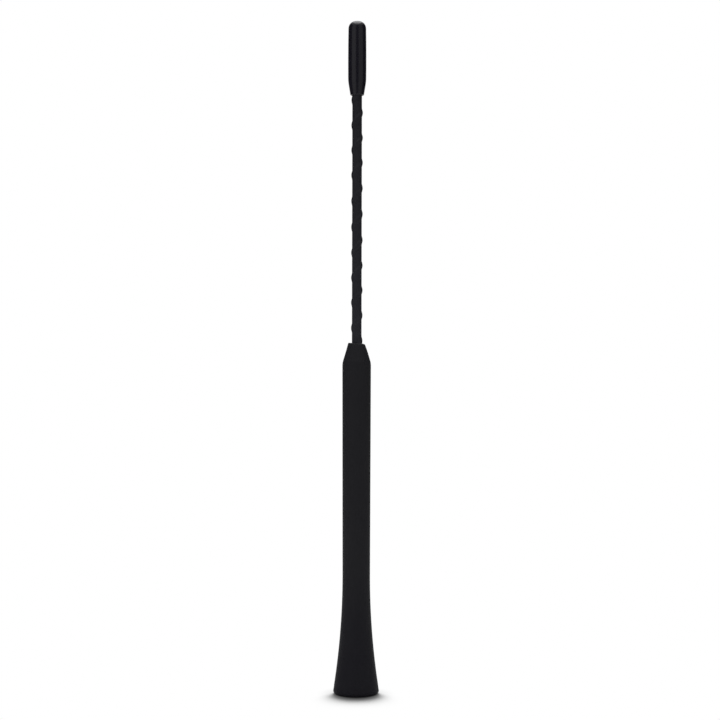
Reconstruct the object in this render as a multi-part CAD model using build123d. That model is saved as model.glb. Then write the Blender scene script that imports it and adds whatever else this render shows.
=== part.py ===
from build123d import *
import math
import os

# Car mast aerial, in millimetres. The origin is at the centre of the foot's underside, and +Z runs
# up the mast. Pieces: a rubber body on a threaded insert, a rod with its loading coil, a shrink
# sleeve with a spiral ridge along the whip, and a domed cap on the tip.

# Whole mast
mast_height = 230.0
body_height = 119.8

# Rubber body
base_diameter = 15.9
base_edge_chamfer = 0.8
flare_height = 40.5
waist_diameter = 9.34
shoulder_diameter = 9.64
shoulder_radius = 7.0
neck_height = 6.7
rim_wall = 0.76
rim_edge_chamfer = 0.25

# Threaded insert, a little above the foot's underside so that the rubber seals first
insert_recess = 0.3
insert_diameter = 8.0
insert_flat_depth = 0.4
flange_diameter = 10.4
flange_thickness = 1.6
groove_height = 4.0
groove_width = 3.0
groove_depth = 0.6
thread_hole_diameter = 4.2
thread_hole_depth = 10.0
thread_mouth_chamfer = 0.4
insert_web = 3.0
rod_socket_depth = 8.0

# Rod and loading coil
rod_diameter = 2.6
rod_fit = 0.02
coil_thickness = 0.5
coil_fit = 0.02

# Shrink sleeve, bonded to the wire that winds up the whip and lifts it as a ridge
sleeve_wall = 0.29
sleeve_tuck = 6.0
spiral_pitch = 8.7
spiral_start_angle = 180.0
ridge_height = 0.35
ridge_width = 3.0
ridge_crest_width = 1.0
ridge_end_gap = 0.44
ridge_fit = 0.02

# Tip cap
cap_length = 25.4
cap_diameter = 6.12
cap_skirt_height = 4.8
cap_skirt_radius = 15.0
cap_lip_wall = 0.29
cap_crown_height = 1.92
cap_dome_radius = 2.0
cap_end_thickness = 9.4

# Radii and heights that follow from the sizes above
rod_radius = rod_diameter / 2
bore_radius = rod_radius + rod_fit
sleeve_radius = bore_radius + sleeve_wall
ridge_radius = sleeve_radius + ridge_height
ridge_bore_radius = ridge_radius + ridge_fit
coil_radius = bore_radius + coil_thickness
thread_hole_top = insert_recess + thread_hole_depth
rod_bottom = thread_hole_top + insert_web
insert_top = rod_bottom + rod_socket_depth
sleeve_bottom = body_height - sleeve_tuck
cap_bottom = mast_height - cap_length
sleeve_top = cap_bottom + sleeve_tuck
rod_top = mast_height - cap_end_thickness


def cylinder_between(radius, bottom, top):
    """A cylinder on the mast's axis from one height to another."""
    return Pos(0, 0, bottom) * Cylinder(radius, top - bottom, align=(Align.CENTER, Align.CENTER, Align.MIN))


def turned(profile):
    """A solid turned about the mast's axis from a face in (radius, height)."""
    return revolve(Plane.XZ * profile, Axis.Z)


def corner(profile, place):
    """The corner of a face in (radius, height) that is nearest to a place."""
    return profile.vertices().sort_by_distance((*place, 0))[0]


def insert_form():
    """Outside of the insert: flange, round shank with a keying groove, and two flats above it."""
    flange_top = insert_recess + flange_thickness
    form = cylinder_between(flange_diameter / 2, insert_recess, flange_top)
    form += cylinder_between(insert_diameter / 2, flange_top, insert_top)
    groove_bottom = flange_top + groove_height
    groove_top = groove_bottom + groove_width
    groove = cylinder_between(insert_diameter / 2, groove_bottom, groove_top)
    groove -= cylinder_between(insert_diameter / 2 - groove_depth, groove_bottom, groove_top)
    across_flats = insert_diameter - 2 * insert_flat_depth
    between_flats = Pos(0, 0, groove_top) * Box(
        across_flats, insert_diameter, insert_top - groove_top, align=(Align.CENTER, Align.CENTER, Align.MIN)
    )
    flat_sides = cylinder_between(insert_diameter / 2, groove_top, insert_top) - between_flats
    return form - groove - flat_sides


def make_base_insert():
    """Brass insert with the drilled hole for the thread below and the rod's socket above."""
    hole_radius = thread_hole_diameter / 2
    mouth_radius = hole_radius + thread_mouth_chamfer
    hole_outline = Polyline(
        (0, insert_recess),
        (mouth_radius, insert_recess),
        (hole_radius, insert_recess + thread_mouth_chamfer),
        (hole_radius, thread_hole_top),
        (0, thread_hole_top),
        close=True,
    )
    hole = turned(make_face(hole_outline))
    socket = cylinder_between(bore_radius, rod_bottom, insert_top)
    return insert_form() - hole - socket


def make_core_rod():
    """Plain rod from the floor of the insert's socket to the end of the cap's bore."""
    return cylinder_between(rod_radius, rod_bottom, rod_top)


def make_loading_coil():
    """Close-wound coil on the rod, from the insert up to the sleeve."""
    coil = cylinder_between(coil_radius, insert_top, sleeve_bottom)
    return coil - cylinder_between(bore_radius, insert_top, sleeve_bottom)


def make_whip_sleeve():
    """Thin tube with one right-handed spiral ridge, whose ends lie inside the body and the cap."""
    tube = cylinder_between(sleeve_radius, sleeve_bottom, sleeve_top)
    tube -= cylinder_between(bore_radius, sleeve_bottom, sleeve_top)
    # The ridge's slice lies in a plane through the axis, with its flanks run down into the wall.
    flank_slope = (ridge_width - ridge_crest_width) / 2 / ridge_height
    root_depth = sleeve_wall / 2
    root_half = ridge_width / 2 + flank_slope * root_depth
    spiral_bottom = sleeve_bottom + ridge_end_gap + root_half
    spiral_height = sleeve_top - ridge_end_gap - root_half - spiral_bottom
    ridge_slice = Polygon(
        (sleeve_radius - root_depth, -root_half),
        (ridge_radius, -ridge_crest_width / 2),
        (ridge_radius, ridge_crest_width / 2),
        (sleeve_radius - root_depth, root_half),
        align=None,
    )
    slice_plane = Plane((0, 0, spiral_bottom), x_dir=(1, 0, 0), z_dir=(0, -1, 0))
    spiral = Helix(spiral_pitch, spiral_height, sleeve_radius, center=(0, 0, spiral_bottom))
    ridge = sweep(slice_plane * ridge_slice, path=spiral, is_frenet=True)
    return tube + ridge.rotate(Axis.Z, spiral_start_angle)


def make_tip_cap():
    """Round cap with a domed end, a tapered skirt and a stepped blind bore."""
    cap_radius = cap_diameter / 2
    crown_angle = 2 * math.atan2(cap_crown_height, cap_radius)
    crown_radius = cap_radius / math.sin(crown_angle)
    crown_degrees = math.degrees(crown_angle)
    lip = (ridge_bore_radius + cap_lip_wall, cap_bottom)
    skirt = (cap_radius, cap_bottom + cap_skirt_height)
    dome = (cap_radius, mast_height - cap_crown_height)
    profile = make_face(
        [
            Line((0, cap_bottom), lip),
            Line(lip, skirt),
            Line(skirt, dome),
            CenterArc((0, mast_height - crown_radius), crown_radius, 90 - crown_degrees, crown_degrees),
            Line((0, mast_height), (0, cap_bottom)),
        ]
    )
    profile = fillet(corner(profile, skirt), cap_skirt_radius)
    profile = fillet(corner(profile, dome), cap_dome_radius)
    cap = turned(profile) - cylinder_between(ridge_bore_radius, cap_bottom, sleeve_top)
    return cap - cylinder_between(bore_radius, sleeve_top, rod_top)


def make_mast_body():
    """Rubber body: flared foot, drafted shaft and sloping neck, moulded round the insert."""
    foot = (base_diameter / 2, 0)
    waist = (waist_diameter / 2, flare_height)
    shoulder = (shoulder_diameter / 2, body_height - neck_height)
    rim = (ridge_bore_radius + rim_wall, body_height)
    shaft = Bezier(shoulder, waist)
    profile = make_face(
        [
            Line((0, 0), foot),
            TangentArc(waist, foot, tangent=shaft % 1),
            shaft,
            Line(shoulder, rim),
            Line(rim, (0, body_height)),
            Line((0, body_height), (0, 0)),
        ]
    )
    profile = chamfer(corner(profile, foot), base_edge_chamfer)
    profile = fillet(corner(profile, shoulder), shoulder_radius)
    profile = chamfer(corner(profile, rim), rim_edge_chamfer)
    body = turned(profile) - insert_form()
    body -= cylinder_between(flange_diameter / 2, 0, insert_recess)
    body -= cylinder_between(coil_radius + coil_fit, insert_top, sleeve_bottom)
    return body - cylinder_between(ridge_bore_radius, sleeve_bottom, body_height)


pieces = {
    "mast_body": make_mast_body(),
    "base_insert": make_base_insert(),
    "core_rod": make_core_rod(),
    "loading_coil": make_loading_coil(),
    "whip_sleeve": make_whip_sleeve(),
    "tip_cap": make_tip_cap(),
}

os.makedirs("parts", exist_ok=True)
for name, piece in pieces.items():
    export_step(piece, f"parts/{name}.step")
    print(name, round(piece.volume, 2))
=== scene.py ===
import bpy
import math
import numpy as np
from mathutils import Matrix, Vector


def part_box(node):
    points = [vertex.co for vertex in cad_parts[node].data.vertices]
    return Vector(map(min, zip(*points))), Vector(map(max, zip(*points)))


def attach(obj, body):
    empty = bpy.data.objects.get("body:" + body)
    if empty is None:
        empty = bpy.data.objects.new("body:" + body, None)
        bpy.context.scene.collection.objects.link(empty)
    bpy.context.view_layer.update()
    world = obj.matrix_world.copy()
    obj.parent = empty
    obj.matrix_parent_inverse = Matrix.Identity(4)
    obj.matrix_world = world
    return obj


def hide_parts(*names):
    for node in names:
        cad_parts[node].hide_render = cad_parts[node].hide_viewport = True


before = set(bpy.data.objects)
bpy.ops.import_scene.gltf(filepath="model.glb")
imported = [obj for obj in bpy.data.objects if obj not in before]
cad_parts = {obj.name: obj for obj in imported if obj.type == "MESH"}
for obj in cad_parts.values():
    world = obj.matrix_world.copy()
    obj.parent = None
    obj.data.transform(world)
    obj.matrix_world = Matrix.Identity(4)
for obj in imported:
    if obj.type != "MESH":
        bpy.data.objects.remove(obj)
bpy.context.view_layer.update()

# Car mast aerial: rubber body with a threaded insert in its foot, a whip in a shrink sleeve that a
# wound wire lifts as a spiral, and a domed cap. Shapes are worked out in millimetres on the mast's axis.
mm = 0.001
fullTurn = 2 * math.pi
tiny = 1e-6  # slack for comparing lengths


def nodeSpan(node):
    low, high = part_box(node)
    return high.x / mm, low.z / mm, high.z / mm  # outer radius, bottom and top


bodyRadius, bodyBottom, bodyTop = nodeSpan("mast_body")
insertRadius, insertBottom, insertTop = nodeSpan("base_insert")
rodRadius, rodBottom, rodTop = nodeSpan("core_rod")
coilRadius, coilBottom, coilTop = nodeSpan("loading_coil")
ridgeRadius, sleeveBottom, sleeveTop = nodeSpan("whip_sleeve")
capRadius, capBottom, capTop = nodeSpan("tip_cap")
fit = 0.02  # clearance between pieces that slide together
boreRadius = rodRadius + fit
ridgeBoreRadius = ridgeRadius + fit
print("frame read, mast", round(capTop - bodyBottom, 2), "mm tall")


# Smooth rise from 0 to 1, 3 * share^2 - 2 * share^3, flat at both ends and beyond them
def smoothStep(share):
    share = np.clip(share, 0, 1)
    return share * share * (3 - 2 * share)


# Angles of evenly spaced columns round the mast
def evenAngles(columns):
    return np.arange(columns) / columns * fullTurn


# A closed outline of corners (radius, height, rounding). Each corner becomes an arc that touches both of
# its sides: it starts rounding * tan(turn / 2) before the corner and swings about its centre by the turn.
def roundedOutline(corners, arcSteps=9):
    corners = np.array(corners, float)
    point, rounding = corners[:, :2], corners[:, 2:]
    leaving = np.roll(point, -1, axis=0) - point
    leaving /= np.linalg.norm(leaving, axis=1, keepdims=True)
    arriving = np.roll(leaving, 1, axis=0)
    across = np.stack([-arriving[:, 1], arriving[:, 0]], axis=1)
    turn = np.arctan2((across * leaving).sum(1), (arriving * leaving).sum(1))[:, None]
    start = point - arriving * rounding * np.abs(np.tan(turn / 2))
    arm = -across * rounding * np.sign(turn)
    sideways = np.stack([-arm[:, 1], arm[:, 0]], axis=1)
    swing = (turn * np.linspace(0, 1, arcSteps))[..., None]
    arc = (start - arm)[:, None] + arm[:, None] * np.cos(swing) + sideways[:, None] * np.sin(swing)
    line = arc.reshape(-1, 2)
    moved = np.linalg.norm(line - np.roll(line, 1, axis=0), axis=1)
    return line[moved > tiny]


# Adds points evenly along each run of an outline, so that no run is longer than the given length, which is
# one for the whole outline or one for each run
def finerOutline(line, longestRun, looped):
    line = np.vstack([line, line[:1]]) if looped else line
    run = np.diff(line, axis=0)
    count = np.ceil(np.linalg.norm(run, axis=1) / longestRun).astype(int)
    index = np.repeat(np.arange(len(run)), count)
    place = np.arange(count.sum()) - np.repeat(np.cumsum(count) - count, count)
    fine = line[index] + run[index] * (place / count[index])[:, None]
    return fine if looped else np.vstack([fine, line[-1:]])


sharpDegrees = 32  # an edge that turns by more than this stays crisp


# Rings about the mast's axis: point (row, column) is radius * (cos angle, sin angle) at its height. Rows run
# up the outside and down the inside, so faces point outwards. A looped piece joins its last ring to its
# first, and any other piece ends in one point on the axis at both ends.
def ringPiece(name, radius, height, angle, looped):
    shape = np.broadcast_shapes(radius.shape, height.shape, angle.shape)
    radius, height, angle = (np.broadcast_to(part, shape) for part in (radius, height, angle))
    points = np.stack([radius * np.cos(angle), radius * np.sin(angle), height], axis=-1) * mm
    rows, columns = shape
    index = np.arange(rows * columns).reshape(shape)
    if looped:
        index = np.vstack([index, index[:1]])
        points = points.reshape(-1, 3)
    else:  # the first and the last row are one point each
        index = np.clip(index - columns + 1, 0, (rows - 2) * columns + 1)
        index[0] = 0
        points = np.vstack([points[0, :1], points[1:-1].reshape(-1, 3), points[-1, :1]])
    beside = np.roll(index, -1, axis=1)
    quads = np.stack([index[:-1], beside[:-1], beside[1:], index[1:]], axis=-1)
    if looped:
        corners, sizes = quads.ravel(), np.full(rows * columns, 4)
    else:
        firstFan, lastFan = quads[0][:, [0, 2, 3]], quads[-1][:, [0, 1, 2]]
        corners = np.concatenate([firstFan.ravel(), quads[1:-1].ravel(), lastFan.ravel()])
        sizes = np.concatenate([np.full(columns, 3), np.full((rows - 3) * columns, 4), np.full(columns, 3)])
    mesh = bpy.data.meshes.new(name)
    mesh.vertices.add(len(points))
    mesh.vertices.foreach_set("co", points.astype(np.float32).ravel())
    mesh.loops.add(len(corners))
    mesh.loops.foreach_set("vertex_index", corners.astype(np.int32))
    mesh.polygons.add(len(sizes))
    mesh.polygons.foreach_set("loop_start", (np.cumsum(sizes) - sizes).astype(np.int32))
    mesh.polygons.foreach_set("use_smooth", np.ones(len(sizes), bool))
    mesh.update(calc_edges=True)
    mesh.validate()
    mesh.set_sharp_from_angle(angle=math.radians(sharpDegrees))
    piece = bpy.data.objects.new(name, mesh)
    bpy.context.scene.collection.objects.link(piece)
    print(name, len(points), "points", len(sizes), "faces")
    return piece


# Puts a finished piece in the place of its CAD node, which it hides, and gives the piece its own finish
def standFor(piece, node, finish):
    piece.data.materials.append(finish)
    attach(piece, "root")
    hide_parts(node)


# Linear colour of an sRGB hex value, by the sRGB curve
def linearColour(hexValue):
    value = np.array([int(hexValue[i : i + 2], 16) for i in (1, 3, 5)]) / 255
    linear = np.where(value <= 0.04045, value / 12.92, ((value + 0.055) / 1.055) ** 2.4)
    return (*linear.tolist(), 1.0)


# Adds one node: settings are its own properties, and inputs, by name or number, are values or the sockets
# that feed it. Map Range numbers them value, from low, from high, to low and to high, and a colour Mix has
# its factor at 0 and its colours at 6 and 7.
def addNode(tree, kind, settings, inputs):
    node = tree.nodes.new(kind)
    for key, value in settings.items():
        setattr(node, key, value)
    for key, value in inputs.items():
        if isinstance(value, bpy.types.NodeSocket):
            tree.links.new(value, node.inputs[key])
        else:
            node.inputs[key].default_value = value
    return node


def newMaterial(name):
    material = bpy.data.materials.new(name)
    material.use_nodes = True
    material.node_tree.nodes.clear()
    return material, material.node_tree


def perMetre(sizeInMm):
    return 1 / (sizeInMm * mm)  # texture scale that gives features of that size


# EPDM rubber, compression moulded in a spark-eroded mould: dull black with an even fine grain that takes the
# edge off every highlight, and a faint cloudy bloom. Its colour is also painted darker down the foot, which
# is painted shade. The grain is 0.1 mm, drawn at 0.4 mm so that it shows.
rubberLook = {
    "dark": "#0d0c12", "bloomAndFootShade": "#18181a", "cloudSize": 9.0, "cloudShare": 0.5,
    "footShadeFrom": 12.0, "footShadeTo": 50.0, "grainSize": 0.4, "grainDepth": 0.03,
    "roughness": 0.64, "specular": 0.12,
}


def mouldedRubber():
    look = rubberLook
    material, tree = newMaterial("mouldedRubber")
    place = addNode(tree, "ShaderNodeTexCoord", {}, {}).outputs["Object"]
    cloud = addNode(
        tree, "ShaderNodeTexNoise", {},
        {"Vector": place, "Scale": perMetre(look["cloudSize"]), "Detail": 3.0},
    )
    height = addNode(tree, "ShaderNodeSeparateXYZ", {}, {0: place}).outputs[2]
    # Painted shade: the colour gets darker down the foot, below 50 mm and most of all below 12 mm
    footShadeLift = addNode(
        tree, "ShaderNodeMapRange", {"interpolation_type": "SMOOTHSTEP"},
        {0: height, 1: look["footShadeFrom"] * mm, 2: look["footShadeTo"] * mm, 3: 0.0, 4: 1 - look["cloudShare"]},
    )
    bloomAndFootShade = addNode(
        tree, "ShaderNodeMath", {"operation": "MULTIPLY_ADD"},
        {0: cloud.outputs[0], 1: look["cloudShare"], 2: footShadeLift.outputs[0]},
    )
    colour = addNode(
        tree, "ShaderNodeMix", {"data_type": "RGBA"},
        {0: bloomAndFootShade.outputs[0], 6: linearColour(look["dark"]), 7: linearColour(look["bloomAndFootShade"])},
    )
    grain = addNode(
        tree, "ShaderNodeTexNoise", {},
        {"Vector": place, "Scale": perMetre(look["grainSize"]), "Detail": 2.0},
    )
    bump = addNode(
        tree, "ShaderNodeBump", {},
        {"Height": grain.outputs[0], "Distance": look["grainDepth"] * mm, "Strength": 1.0},
    )
    shader = addNode(
        tree, "ShaderNodeBsdfPrincipled", {},
        {"Base Color": colour.outputs[2], "Roughness": look["roughness"],
         "Specular IOR Level": look["specular"], "Normal": bump.outputs[0]},
    )
    addNode(tree, "ShaderNodeOutputMaterial", {}, {"Surface": shader.outputs[0]})
    return material


# Polyolefin shrink tube, shrunk hot on to the wound wire: matt black, with a fine pebbled skin and small
# patches that shrank more or less glossy. Its colour is painted darker towards the cap and paler towards the
# body, which is painted shading. The pebbles are 0.3 mm, drawn at 0.7 mm so that they show.
sleeveLook = {
    "dark": "#101014", "pale": "#1f1f24", "paintedShadingFrom": 215.0, "paintedShadingTo": 115.0,
    "pebbleShare": 0.5, "pebbleSize": 0.7, "pebbleDepth": 0.06,
    "patchSize": 2.2, "patchFrom": 0.3, "patchTo": 0.7, "roughLow": 0.55, "roughHigh": 0.7, "specular": 0.16,
}


def shrunkPolyolefin():
    look = sleeveLook
    material, tree = newMaterial("shrunkPolyolefin")
    place = addNode(tree, "ShaderNodeTexCoord", {}, {}).outputs["Object"]
    pebble = addNode(
        tree, "ShaderNodeTexNoise", {},
        {"Vector": place, "Scale": perMetre(look["pebbleSize"]), "Detail": 3.0},
    )
    patch = addNode(
        tree, "ShaderNodeTexNoise", {},
        {"Vector": place, "Scale": perMetre(look["patchSize"]), "Detail": 2.0},
    )
    height = addNode(tree, "ShaderNodeSeparateXYZ", {}, {0: place}).outputs[2]
    # Painted shading: the colour gets darker up towards the cap, from 115 mm to 215 mm
    paintedShading = addNode(
        tree, "ShaderNodeMapRange", {},
        {0: height, 1: look["paintedShadingFrom"] * mm, 2: look["paintedShadingTo"] * mm, 3: 0.0, 4: 1 - look["pebbleShare"]},
    )
    share = addNode(
        tree, "ShaderNodeMath", {"operation": "MULTIPLY_ADD"},
        {0: pebble.outputs[0], 1: look["pebbleShare"], 2: paintedShading.outputs[0]},
    )
    colour = addNode(
        tree, "ShaderNodeMix", {"data_type": "RGBA"},
        {0: share.outputs[0], 6: linearColour(look["dark"]), 7: linearColour(look["pale"])},
    )
    roughness = addNode(
        tree, "ShaderNodeMapRange", {},
        {0: patch.outputs[0], 1: look["patchFrom"], 2: look["patchTo"],
         3: look["roughLow"], 4: look["roughHigh"]},
    )
    bump = addNode(
        tree, "ShaderNodeBump", {},
        {"Height": pebble.outputs[0], "Distance": look["pebbleDepth"] * mm, "Strength": 1.0},
    )
    shader = addNode(
        tree, "ShaderNodeBsdfPrincipled", {},
        {"Base Color": colour.outputs[2], "Roughness": roughness.outputs[0],
         "Specular IOR Level": look["specular"], "Normal": bump.outputs[0]},
    )
    addNode(tree, "ShaderNodeOutputMaterial", {}, {"Surface": shader.outputs[0]})
    return material


# Nylon, injection moulded in a polished mould: satin black that draws soft upright highlights, with slight
# orange peel about 0.8 mm across.
nylonLook = {
    "dark": "#100f14", "pale": "#141319", "peelSize": 0.8, "peelDepth": 0.004, "flowSize": 5.0,
    "roughness": 0.22, "specular": 0.25,
}


def satinNylon():
    look = nylonLook
    material, tree = newMaterial("satinNylon")
    place = addNode(tree, "ShaderNodeTexCoord", {}, {}).outputs["Object"]
    flow = addNode(
        tree, "ShaderNodeTexNoise", {},
        {"Vector": place, "Scale": perMetre(look["flowSize"]), "Detail": 2.0},
    )
    colour = addNode(
        tree, "ShaderNodeMix", {"data_type": "RGBA"},
        {0: flow.outputs[0], 6: linearColour(look["dark"]), 7: linearColour(look["pale"])},
    )
    peel = addNode(
        tree, "ShaderNodeTexNoise", {},
        {"Vector": place, "Scale": perMetre(look["peelSize"]), "Detail": 1.0},
    )
    bump = addNode(
        tree, "ShaderNodeBump", {},
        {"Height": peel.outputs[0], "Distance": look["peelDepth"] * mm, "Strength": 1.0},
    )
    shader = addNode(
        tree, "ShaderNodeBsdfPrincipled", {},
        {"Base Color": colour.outputs[2], "Roughness": look["roughness"],
         "Specular IOR Level": look["specular"], "Normal": bump.outputs[0]},
    )
    addNode(tree, "ShaderNodeOutputMaterial", {}, {"Surface": shader.outputs[0]})
    return material


# Brass, turned on a lathe and dull nickel plated: pale warm grey with fine rings from the tool on its faces.
# The tool's feed is 0.1 mm, drawn at 0.3 mm so that it shows.
nickelLook = {
    "plate": "#c2bcae", "worn": "#a89a7c", "stainSize": 2.5, "stainFrom": 0.5, "stainTo": 0.8,
    "stainMost": 0.6, "feed": 0.3, "feedDepth": 0.006, "roughness": 0.32,
}
waveRadians = 20  # a wave texture of scale 1 turns by this angle in one unit of length


def nickelledBrass():
    look = nickelLook
    material, tree = newMaterial("nickelledBrass")
    place = addNode(tree, "ShaderNodeTexCoord", {}, {}).outputs["Object"]
    stain = addNode(
        tree, "ShaderNodeTexNoise", {},
        {"Vector": place, "Scale": perMetre(look["stainSize"]), "Detail": 4.0},
    )
    share = addNode(
        tree, "ShaderNodeMapRange", {},
        {0: stain.outputs[0], 1: look["stainFrom"], 2: look["stainTo"], 3: 0.0, 4: look["stainMost"]},
    )
    colour = addNode(
        tree, "ShaderNodeMix", {"data_type": "RGBA"},
        {0: share.outputs[0], 6: linearColour(look["plate"]), 7: linearColour(look["worn"])},
    )
    rings = addNode(
        tree, "ShaderNodeTexWave", {"wave_type": "RINGS", "rings_direction": "Z"},
        {"Vector": place, "Scale": perMetre(look["feed"]) / waveRadians * fullTurn, "Distortion": 0.0},
    )
    bump = addNode(
        tree, "ShaderNodeBump", {},
        {"Height": rings.outputs[1], "Distance": look["feedDepth"] * mm, "Strength": 1.0},
    )
    shader = addNode(
        tree, "ShaderNodeBsdfPrincipled", {},
        {"Base Color": colour.outputs[2], "Metallic": 1.0, "Roughness": look["roughness"],
         "Normal": bump.outputs[0]},
    )
    addNode(tree, "ShaderNodeOutputMaterial", {}, {"Surface": shader.outputs[0]})
    return material


# Glass fibre rod, pultruded: straw-coloured resin with pale fibres that run along it, about 0.2 mm wide.
fibreLook = {
    "resin": "#a39a6c", "fibre": "#c9c4a4", "fibreWidth": 0.2, "fibreLength": 30.0, "roughness": 0.45,
}


def pultrudedGlassFibre():
    look = fibreLook
    material, tree = newMaterial("pultrudedGlassFibre")
    place = addNode(tree, "ShaderNodeTexCoord", {}, {}).outputs["Object"]
    stretched = addNode(
        tree, "ShaderNodeMapping", {},
        {"Vector": place, "Scale": (perMetre(look["fibreWidth"]),) * 2 + (perMetre(look["fibreLength"]),)},
    )
    fibre = addNode(
        tree, "ShaderNodeTexNoise", {},
        {"Vector": stretched.outputs[0], "Scale": 1.0, "Detail": 3.0},
    )
    colour = addNode(
        tree, "ShaderNodeMix", {"data_type": "RGBA"},
        {0: fibre.outputs[0], 6: linearColour(look["resin"]), 7: linearColour(look["fibre"])},
    )
    shader = addNode(
        tree, "ShaderNodeBsdfPrincipled", {},
        {"Base Color": colour.outputs[2], "Roughness": look["roughness"]},
    )
    addNode(tree, "ShaderNodeOutputMaterial", {}, {"Surface": shader.outputs[0]})
    return material


# Copper wire, drawn and enamelled: red-brown metal under a clear amber coat that varies a little in depth.
copperLook = {
    "pale": "#b8703f", "deep": "#94502a", "tintSize": 3.0, "roughness": 0.28, "coatRoughness": 0.1,
}


def enamelledCopper():
    look = copperLook
    material, tree = newMaterial("enamelledCopper")
    place = addNode(tree, "ShaderNodeTexCoord", {}, {}).outputs["Object"]
    tint = addNode(
        tree, "ShaderNodeTexNoise", {},
        {"Vector": place, "Scale": perMetre(look["tintSize"]), "Detail": 2.0},
    )
    colour = addNode(
        tree, "ShaderNodeMix", {"data_type": "RGBA"},
        {0: tint.outputs[0], 6: linearColour(look["pale"]), 7: linearColour(look["deep"])},
    )
    shader = addNode(
        tree, "ShaderNodeBsdfPrincipled", {},
        {"Base Color": colour.outputs[2], "Metallic": 1.0, "Roughness": look["roughness"],
         "Coat Weight": 1.0, "Coat Roughness": look["coatRoughness"]},
    )
    addNode(tree, "ShaderNodeOutputMaterial", {}, {"Surface": shader.outputs[0]})
    return material


# Threaded insert: flange, shank with a keying groove and two flats, rod socket above and an M5 thread below.
insertShape = {
    "shankRadius": 4.0, "flangeThickness": 1.6, "grooveRise": 4.0, "grooveWidth": 3.0, "grooveDepth": 0.6,
    "flatDepth": 0.4, "edgeRounding": 0.12, "holeDepth": 10.0, "minorRadius": 2.1, "majorRadius": 2.5,
    "threadPitch": 0.8, "crestShare": 0.25, "rootShare": 0.12,
    "columns": 96, "threadRun": 0.07, "longestRun": 0.5,
}
flangeTop = insertBottom + insertShape["flangeThickness"]
grooveBottom = flangeTop + insertShape["grooveRise"]
grooveTop = grooveBottom + insertShape["grooveWidth"]
holeTop = insertBottom + insertShape["holeDepth"]


# Outside of the insert from its flange up to its top, as outline corners
def insertOutside(rounding):
    shank = insertShape["shankRadius"]
    groove = shank - insertShape["grooveDepth"]
    return [
        (insertRadius, insertBottom, rounding), (insertRadius, flangeTop, rounding), (shank, flangeTop, 0),
        (shank, grooveBottom, rounding), (groove, grooveBottom, 0), (groove, grooveTop, 0),
        (shank, grooveTop, rounding), (shank, insertTop, rounding),
    ]


# The thread is r = minor + (major - minor) * w, where w is a blunted zigzag of height / pitch - angle / turn,
# and the hole is the larger of that and the plain chamfered hole. The flats cut r at
# (shank - flat) / |cos angle|.
def makeInsert():
    shape = insertShape
    minor, major, pitch = shape["minorRadius"], shape["majorRadius"], shape["threadPitch"]
    chamfer = major - minor
    corners = [
        (0, holeTop, 0), (minor, holeTop, 0), (minor, insertBottom + chamfer, 0), (major, insertBottom, 0),
        *insertOutside(shape["edgeRounding"]),
        (boreRadius, insertTop, shape["edgeRounding"]), (boreRadius, rodBottom, 0), (0, rodBottom, 0),
    ]
    line = roundedOutline(corners)
    inHole = (line[:-1, 0] < major + tiny) & (line[:-1, 1] < holeTop)
    line = finerOutline(line, np.where(inHole, shape["threadRun"], shape["longestRun"]), looped=False)
    angle = evenAngles(shape["columns"])
    radius, height = line[:, :1], line[:, 1:]
    zigzag = np.abs(2 * np.mod(height / pitch - angle / fullTurn, 1) - 1)
    wave = np.clip((zigzag - shape["crestShare"]) / (1 - shape["crestShare"] - shape["rootShare"]), 0, 1)
    runOut = np.clip((holeTop - height) / pitch - 1, 0, 1)  # no thread in the hole's last pitch
    inHole = (height > insertBottom) & (height < holeTop) & (radius < major)
    radius = np.where(inHole, np.maximum(radius, minor + chamfer * wave * runOut), radius)
    flat = (shape["shankRadius"] - shape["flatDepth"]) / np.maximum(np.abs(np.cos(angle)), tiny)
    radius = np.where(height > grooveTop - tiny, np.minimum(radius, flat), radius)
    return ringPiece("baseInsert", radius, height, angle, looped=False)


standFor(makeInsert(), "base_insert", nickelledBrass())


# Loading coil: close-wound turns. The outside is r = bore + half wire + sqrt(half wire^2 - offset^2), where
# offset is the height above the middle of the nearest turn. The bore is plain.
coilShape = {"stepsPerTurn": 8, "columns": 36}


def makeCoil():
    wire = coilRadius - boreRadius
    corners = [
        (coilRadius, coilBottom, 0), (coilRadius, coilTop, 0),
        (boreRadius, coilTop, 0), (boreRadius, coilBottom, 0),
    ]
    longestRun = np.array([wire / coilShape["stepsPerTurn"], wire, coilTop - coilBottom, wire])
    line = finerOutline(roundedOutline(corners), longestRun, looped=True)
    angle = evenAngles(coilShape["columns"])
    radius, height = line[:, :1], line[:, 1:]
    offset = (np.mod((height - coilBottom) / wire - angle / fullTurn, 1) - 0.5) * wire
    turns = boreRadius + wire / 2 + np.sqrt(np.maximum(wire * wire / 4 - offset * offset, 0))
    outside = radius > coilRadius - tiny
    return ringPiece("loadingCoil", np.where(outside, turns, radius), height, angle, looped=True)


standFor(makeCoil(), "loading_coil", enamelledCopper())


# Whip sleeve: r = core + lift * s, where s falls smoothly from 1 on the crest to 0 at the foot of the ridge,
# by the height above or below the wire. The wire climbs one pitch a turn and wanders a little from it. It
# passes the mast's right side, at angle 0, at one given height.
sleeveShape = {
    "coreRadius": 1.65, "pitch": 8.7, "passesRight": 198.8, "crestHalf": 0.05, "footHalf": 1.65,
    "wander": 0.2, "wanderPeriod": 49.0, "wanderFrom": 165.0, "endGap": 0.6, "endRun": 1.5,
    "columns": 72, "longestRun": 0.16,
}


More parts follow.
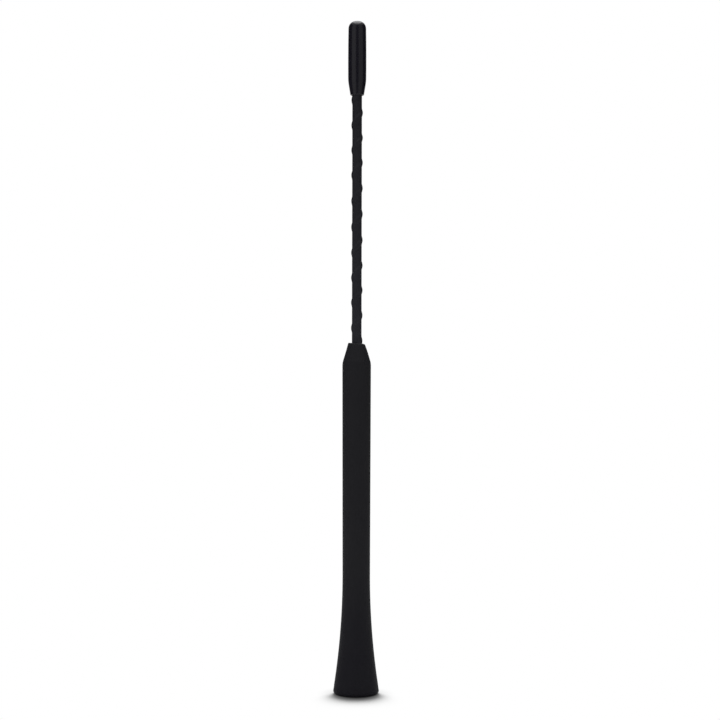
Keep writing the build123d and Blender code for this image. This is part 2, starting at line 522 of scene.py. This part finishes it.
def makeSleeve():
    shape = sleeveShape
    core = shape["coreRadius"]
    lift = ridgeRadius - core
    corners = [
        (core, sleeveBottom, 0), (core, sleeveTop, 0),
        (boreRadius, sleeveTop, 0), (boreRadius, sleeveBottom, 0),
    ]
    longestRun = np.array([shape["longestRun"], core, sleeveTop - sleeveBottom, core])
    line = finerOutline(roundedOutline(corners), longestRun, looped=True)
    angle = evenAngles(shape["columns"])
    radius, height = line[:, :1], line[:, 1:]
    wander = shape["wander"] * np.sin(fullTurn * (height - shape["wanderFrom"]) / shape["wanderPeriod"])
    phase = (height - shape["passesRight"] - wander) / shape["pitch"] - angle / fullTurn
    away = np.abs(phase - np.round(phase)) * shape["pitch"]
    ridge = smoothStep((shape["footHalf"] - away) / (shape["footHalf"] - shape["crestHalf"]))
    fromEnd = np.minimum(height - sleeveBottom, sleeveTop - height) - shape["endGap"]
    ridge = ridge * smoothStep(fromEnd / shape["endRun"])
    outside = radius > core - tiny
    return ringPiece("whipSleeve", np.where(outside, core + lift * ridge, radius), height, angle, looped=True)


standFor(makeSleeve(), "whip_sleeve", shrunkPolyolefin())


# Tip cap: a tapered skirt runs into a barrel r = belly - sag * ((height - belly height) / reach)^2, and the
# dome is a superellipse, r = R * cos(t)^(2 / power) at a rise of H * sin(t)^(2 / power).
capShape = {
    "lipWall": 0.34, "lipRounding": 0.22, "boreRounding": 0.06, "skirtHeight": 4.8, "skirtRounding": 15.0,
    "bellyHeight": 216.0, "bellyProud": 0.08, "barrelSag": 0.09, "barrelStart": 1.7, "barrelRows": 24,
    "domeHeight": 2.9, "domePower": 2.35, "domeRows": 24, "columns": 128, "longestRun": 0.4,
}


def makeCap():
    shape = capShape
    domeBottom = capTop - shape["domeHeight"]
    lipRadius = ridgeBoreRadius + shape["lipWall"]
    skirtTop = capBottom + shape["skirtHeight"]
    barrelHeight = np.linspace(skirtTop + shape["barrelStart"], domeBottom, shape["barrelRows"])
    barrelHeight = np.concatenate([[skirtTop], barrelHeight])
    reach = domeBottom - shape["bellyHeight"]
    sag = shape["barrelSag"] * ((barrelHeight - shape["bellyHeight"]) / reach) ** 2
    barrelRadius = capRadius + shape["bellyProud"] - sag
    rise = np.linspace(0, math.pi / 2, shape["domeRows"] + 1)[1:]
    domeRadius = barrelRadius[-1] * np.maximum(np.cos(rise), 0) ** (2 / shape["domePower"])
    domeRadius[-1] = 0
    domeHeight = domeBottom + shape["domeHeight"] * np.sin(rise) ** (2 / shape["domePower"])
    outside = np.zeros((len(barrelHeight) + len(domeHeight), 3))
    outside[:, 0] = np.concatenate([barrelRadius, domeRadius])
    outside[:, 1] = np.concatenate([barrelHeight, domeHeight])
    outside[0, 2] = shape["skirtRounding"]
    corners = [
        (0, rodTop, 0), (boreRadius, rodTop, 0), (boreRadius, sleeveTop, 0), (ridgeBoreRadius, sleeveTop, 0),
        (ridgeBoreRadius, capBottom, shape["boreRounding"]), (lipRadius, capBottom, shape["lipRounding"]),
        *outside,
    ]
    line = finerOutline(roundedOutline(corners), shape["longestRun"], looped=False)
    return ringPiece("tipCap", line[:, :1], line[:, 1:], evenAngles(shape["columns"]), looped=False)


standFor(makeCap(), "tip_cap", satinNylon())


# Rubber body: the foot flares as r = waist + (widest - waist) * share^2, where share runs from 0 at the waist
# to 1 at the widest height, then a drafted shaft, a rounded shoulder and a neck. The rim came out of the
# mould uneven: its outer edge drops by slant * (1 + cos angle) / 2 from a slight lip, and its inner edge lies
# a little lower, both fading out down the neck. The mould's seam is a low ridge on both sides,
# seam height * exp(-(distance / seam width)^2), with columns of its own at the given distances.
bodyShape = {
    "flareHeight": 40.5, "flareStart": 2.0, "flareRows": 39, "waistRadius": 4.67, "widestHeight": 1.05,
    "shoulderRadius": 4.86, "neckHeight": 6.7, "shoulderRounding": 7.0, "rimWall": 0.84, "footRounding": 1.1,
    "rimRounding": 0.38, "boreRounding": 0.12, "mouthRounding": 0.2,
    "rimLip": 0.25, "rimSlant": 0.6, "rimDip": 0.05, "rimReach": 3.0,
    "seamHeight": 0.03, "seamWidth": 0.18, "seamStart": 3.0, "seamColumns": (-0.3, -0.2, -0.1, 0.1, 0.2, 0.3),
    "columns": 144, "longestRun": 0.8,
}


def makeBody():
    shape = bodyShape
    waist, flareHeight = shape["waistRadius"], shape["flareHeight"]
    flare = np.zeros((shape["flareRows"] + 1, 3))
    flare[1:, 1] = np.linspace(shape["flareStart"], flareHeight, shape["flareRows"])
    share = (flareHeight - flare[:, 1]) / (flareHeight - shape["widestHeight"])
    flare[:, 0] = waist + (bodyRadius - waist) * share * share
    flare[0, 2] = shape["footRounding"]
    corners = [
        *flare,
        (shape["shoulderRadius"], bodyTop - shape["neckHeight"], shape["shoulderRounding"]),
        (ridgeBoreRadius + shape["rimWall"], bodyTop, shape["rimRounding"]),
        (ridgeBoreRadius, bodyTop, shape["boreRounding"]),
        (ridgeBoreRadius, coilTop, 0), (coilRadius + fit, coilTop, 0), (coilRadius + fit, insertTop, 0),
        *insertOutside(0)[:0:-1],  # down the insert as far as the top of its flange
        (insertRadius, bodyBottom, shape["mouthRounding"]),
    ]
    line = finerOutline(roundedOutline(corners), shape["longestRun"], looped=True)
    seam = np.array(shape["seamColumns"]) / waist
    angle = evenAngles(shape["columns"])
    angle = np.sort(np.concatenate([angle, np.mod(seam, fullTurn), seam + math.pi]))
    radius, height = line[:, :1], line[:, 1:]
    away = np.abs(np.arcsin(np.sin(angle))) * radius / shape["seamWidth"]
    outside = (np.arange(len(line)) < line[:, 1].argmax())[:, None] & (height > shape["seamStart"])
    radius = radius + np.where(outside, shape["seamHeight"] * np.exp(-away * away), 0)
    nearRim = smoothStep(1 - (bodyTop - height) / shape["rimReach"])
    outer = np.clip((radius - ridgeBoreRadius) / shape["rimWall"], 0, 1)
    edge = shape["rimLip"] - shape["rimSlant"] * (1 + np.cos(angle)) / 2
    height = height + nearRim * (edge * outer - shape["rimDip"] * (1 - outer))
    return ringPiece("mastBody", radius, height, angle, looped=True)


standFor(makeBody(), "mast_body", mouldedRubber())

# The rod's CAD shape is right, so the node stays and takes a better finish
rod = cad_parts["core_rod"]
rod.data.materials.clear()
rod.data.materials.append(pultrudedGlassFibre())
print("pieces done")


# Socket that is 1 where the camera, a gloss or clear stuff looks at a surface, and 0 for any other light
def seenDirectly(tree):
    path = addNode(tree, "ShaderNodeLightPath", {}, {})
    direct = path.outputs["Is Camera Ray"]
    for ray in ("Is Glossy Ray", "Is Transmission Ray"):
        either = addNode(tree, "ShaderNodeMath", {"operation": "MAXIMUM"}, {0: direct, 1: path.outputs[ray]})
        direct = either.outputs[0]
    return direct


# Adds a sheet of the stage from a grid of points in metres and its faces
def stageSheet(name, points, quads, material):
    mesh = bpy.data.meshes.new(name)
    mesh.from_pydata(points.reshape(-1, 3).tolist(), [], quads.tolist())
    mesh.materials.append(material)
    sheet = bpy.data.objects.new(name, mesh)
    bpy.context.scene.collection.objects.link(sheet)
    return sheet


# White floor that keeps a soft shadow in front of the foot. The shadow is how much the mast hides, within its
# reach, of the level views to the back left and the back right. Close to the foot it deepens by what is
# hidden straight back and overhead, and past the shadow's radius the floor is plain. It is clear from below.
floorLook = {
    "radius": 700.0, "holeRadius": 6.6, "columns": 64, "paint": "#f2f2f2",
    "shadowRadius": 60.0, "shadowSamples": 64, "backDegrees": 30.0,
    "shadowReach": 36.0, "shadowFrom": 0.7006, "shadowTo": 0.9195, "shadowDarkest": 0.2,
    "contactReach": 8.0, "contactFrom": 0.482, "contactTo": 0.742, "contactDarkest": 0.1,
    "overheadReach": 6.0, "overheadFrom": -1.09,
}


def whiteSweep():
    look = floorLook
    material, tree = newMaterial("whiteSweep")
    back = math.radians(look["backDegrees"])
    views = {
        "backLeft": (-math.sin(back), math.cos(back), 0.0, look["shadowReach"]),
        "backRight": (math.sin(back), math.cos(back), 0.0, look["shadowReach"]),
        "straightBack": (0.0, 1.0, 0.0, look["contactReach"]),
        "overhead": (0.0, 0.0, 1.0, look["overheadReach"]),
    }
    openShare = {}
    for view, (x, y, z, reach) in views.items():
        towards = addNode(tree, "ShaderNodeCombineXYZ", {}, {0: x, 1: y, 2: z})
        share = addNode(
            tree, "ShaderNodeAmbientOcclusion", {"samples": look["shadowSamples"]},
            {"Distance": reach * mm, "Normal": towards.outputs[0]},
        )
        openShare[view] = share.outputs["AO"]
    both = addNode(
        tree, "ShaderNodeMath", {"operation": "ADD"},
        {0: openShare["backLeft"], 1: openShare["backRight"]},
    )
    shadow = addNode(
        tree, "ShaderNodeMapRange", {"interpolation_type": "SMOOTHERSTEP"},
        {0: both.outputs[0], 1: 2 * look["shadowFrom"], 2: 2 * look["shadowTo"],
         3: look["shadowDarkest"], 4: 1.0},
    )
    contact = addNode(
        tree, "ShaderNodeMapRange", {},
        {0: openShare["straightBack"], 1: look["contactFrom"], 2: look["contactTo"],
         3: look["contactDarkest"], 4: 1.0},
    )
    overhead = addNode(
        tree, "ShaderNodeMapRange", {},
        {0: openShare["overhead"], 1: look["overheadFrom"], 2: 1.0, 3: 0.0, 4: 1.0},
    )
    tone = shadow.outputs[0]
    for deeper in (contact, overhead):
        product = addNode(tree, "ShaderNodeMath", {"operation": "MULTIPLY"}, {0: tone, 1: deeper.outputs[0]})
        tone = product.outputs[0]
    shaded = addNode(tree, "ShaderNodeEmission", {}, {"Color": tone, "Strength": 1.0})
    plain = addNode(tree, "ShaderNodeEmission", {}, {"Strength": 1.0})
    place = addNode(tree, "ShaderNodeTexCoord", {}, {}).outputs["Object"]
    away = addNode(tree, "ShaderNodeVectorMath", {"operation": "LENGTH"}, {0: place}).outputs["Value"]
    near = addNode(
        tree, "ShaderNodeMath", {"operation": "LESS_THAN"},
        {0: away, 1: look["shadowRadius"] * mm},
    )
    seen = addNode(
        tree, "ShaderNodeMixShader", {},
        {0: near.outputs[0], 1: plain.outputs[0], 2: shaded.outputs[0]},
    )
    lit = addNode(tree, "ShaderNodeBsdfDiffuse", {}, {"Color": linearColour(look["paint"])})
    above = addNode(
        tree, "ShaderNodeMixShader", {},
        {0: seenDirectly(tree), 1: lit.outputs[0], 2: seen.outputs[0]},
    )
    clear = addNode(tree, "ShaderNodeBsdfTransparent", {}, {})
    under = addNode(tree, "ShaderNodeNewGeometry", {}, {}).outputs["Backfacing"]
    sheet = addNode(tree, "ShaderNodeMixShader", {}, {0: under, 1: above.outputs[0], 2: clear.outputs[0]})
    addNode(tree, "ShaderNodeOutputMaterial", {}, {"Surface": sheet.outputs[0]})
    return material


# The floor is a flat ring, a grid of radius by angle, and its hole under the foot lets light on to the insert
def makeFloor():
    look = floorLook
    edges = [look["radius"] * mm, look["holeRadius"] * mm]
    radius, angle = np.meshgrid(edges, evenAngles(look["columns"]), indexing="ij")
    points = np.stack([radius * np.cos(angle), radius * np.sin(angle), 0 * angle], axis=-1)
    index = np.arange(angle.size).reshape(angle.shape)
    beside = np.roll(index, -1, axis=1)
    quads = np.stack([index[0], beside[0], beside[1], index[1]], axis=-1)
    stageSheet("floor", points, quads, whiteSweep())


makeFloor()

# Dark studio wall, in metres, round the front and sides and open behind the mast and overhead, so that the
# gloss of the black pieces shows the softboxes and the white backdrop and little else. The camera looks
# through it.
wallLook = {"radius": 1.5, "bottom": -0.8, "top": 1.6, "openDegrees": 30.0, "columns": 49, "paint": "#161616"}


def blackCloth():
    material, tree = newMaterial("blackCloth")
    cloth = addNode(tree, "ShaderNodeBsdfDiffuse", {}, {"Color": linearColour(wallLook["paint"])})
    addNode(tree, "ShaderNodeOutputMaterial", {}, {"Surface": cloth.outputs[0]})
    return material


# The wall is a grid of angle by height at one radius
def makeWall():
    look = wallLook
    half = math.pi - math.radians(look["openDegrees"])
    sweep = np.linspace(-half, half, look["columns"]) - math.pi / 2
    angle, height = np.meshgrid(sweep, [look["bottom"], look["top"]])
    points = np.stack([look["radius"] * np.cos(angle), look["radius"] * np.sin(angle), height], axis=-1)
    index = np.arange(angle.size).reshape(angle.shape)
    quads = np.stack([index[0, 1:], index[0, :-1], index[1, :-1], index[1, 1:]], axis=-1)
    wall = stageSheet("studioWall", points, quads, blackCloth())
    wall.visible_camera = False


makeWall()

# World: white where the camera, a gloss or clear stuff looks at it, and an even grey fill for everything else
worldLook = {"seen": 1.0, "fill": 0.6}


def makeWorld():
    world = bpy.data.worlds.new("studio")
    bpy.context.scene.world = world
    world.use_nodes = True
    tree = world.node_tree
    tree.nodes.clear()
    white = (1.0, 1.0, 1.0, 1.0)
    fill = addNode(tree, "ShaderNodeBackground", {}, {"Color": white, "Strength": worldLook["fill"]})
    seen = addNode(tree, "ShaderNodeBackground", {}, {"Color": white, "Strength": worldLook["seen"]})
    mix = addNode(
        tree, "ShaderNodeMixShader", {},
        {0: seenDirectly(tree), 1: fill.outputs[0], 2: seen.outputs[0]},
    )
    addNode(tree, "ShaderNodeOutputWorld", {}, {"Surface": mix.outputs[0]})


makeWorld()

# Softboxes to the left and right of the camera, one behind that lights the rims, and one overhead. Each is
# given by its middle as seen from the mast, in degrees from the camera and in metres, and tips down from
# level by degrees. Glosses show only the shine share of its glow, as through a polariser, so each is a lamp
# that glosses see, a lamp that they don't, or both.
softboxes = {
    "leftSoftbox": {
        "degrees": -43.2, "distance": 0.9, "height": 0.45, "tip": 0.0, "size": (0.91, 1.0),
        "glow": 2.36, "shine": 0.31,
    },
    "rightSoftbox": {
        "degrees": 46.0, "distance": 0.9, "height": 0.45, "tip": 0.0, "size": (0.96, 1.0),
        "glow": 1.62, "shine": 0.32,
    },
    "rearSoftbox": {
        "degrees": 180.0, "distance": 0.9, "height": 0.5, "tip": 0.0, "size": (1.1, 0.9),
        "glow": 1.6, "shine": 0.0,
    },
    "topSoftbox": {
        "degrees": 180.0, "distance": 0.1, "height": 1.25, "tip": 82.0, "size": (0.9, 1.2),
        "glow": 4.5, "shine": 1.0,
    },
}


def makeSoftbox(name, box):
    turn = math.radians(box["degrees"])
    right, back = box["distance"] * math.sin(turn), -box["distance"] * math.cos(turn)
    shares = {name + "Shine": box["shine"], name + "Matt": 1 - box["shine"]}
    for lampName, share in shares.items():
        if share == 0:
            continue
        lamp = bpy.data.lights.new(lampName, "AREA")
        lamp.shape = "RECTANGLE"
        lamp.size, lamp.size_y = box["size"]
        lamp.energy = box["glow"] * share * math.pi * lamp.size * lamp.size_y
        softbox = bpy.data.objects.new(lampName, lamp)
        softbox.location = (right, back, box["height"])
        softbox.rotation_euler = (math.pi / 2 - math.radians(box["tip"]), 0, turn)
        softbox.visible_camera = False
        softbox.visible_glossy = lampName.endswith("Shine")
        bpy.context.scene.collection.objects.link(softbox)


for name, box in softboxes.items():
    makeSoftbox(name, box)

# Camera: level at the mast's middle, a little to its right, with the photograph's slight roll
cameraLook = {
    "distance": 590.0, "height": 114.1, "aside": 1.14, "frameHeight": 246.25, "rollDegrees": -0.11,
    "clipStart": 10.0,
}


def makeCamera():
    look = cameraLook
    lens = bpy.data.cameras.new("camera")
    lens.angle = 2 * math.atan(look["frameHeight"] / 2 / look["distance"])
    lens.clip_start = look["clipStart"] * mm
    camera = bpy.data.objects.new("camera", lens)
    camera.location = (look["aside"] * mm, -look["distance"] * mm, look["height"] * mm)
    camera.rotation_euler = (math.pi / 2, math.radians(look["rollDegrees"]), 0)
    bpy.context.scene.collection.objects.link(camera)
    bpy.context.scene.camera = camera


makeCamera()
bpy.context.scene.view_settings.view_transform = "Standard"
print("stage, lamps and camera done")
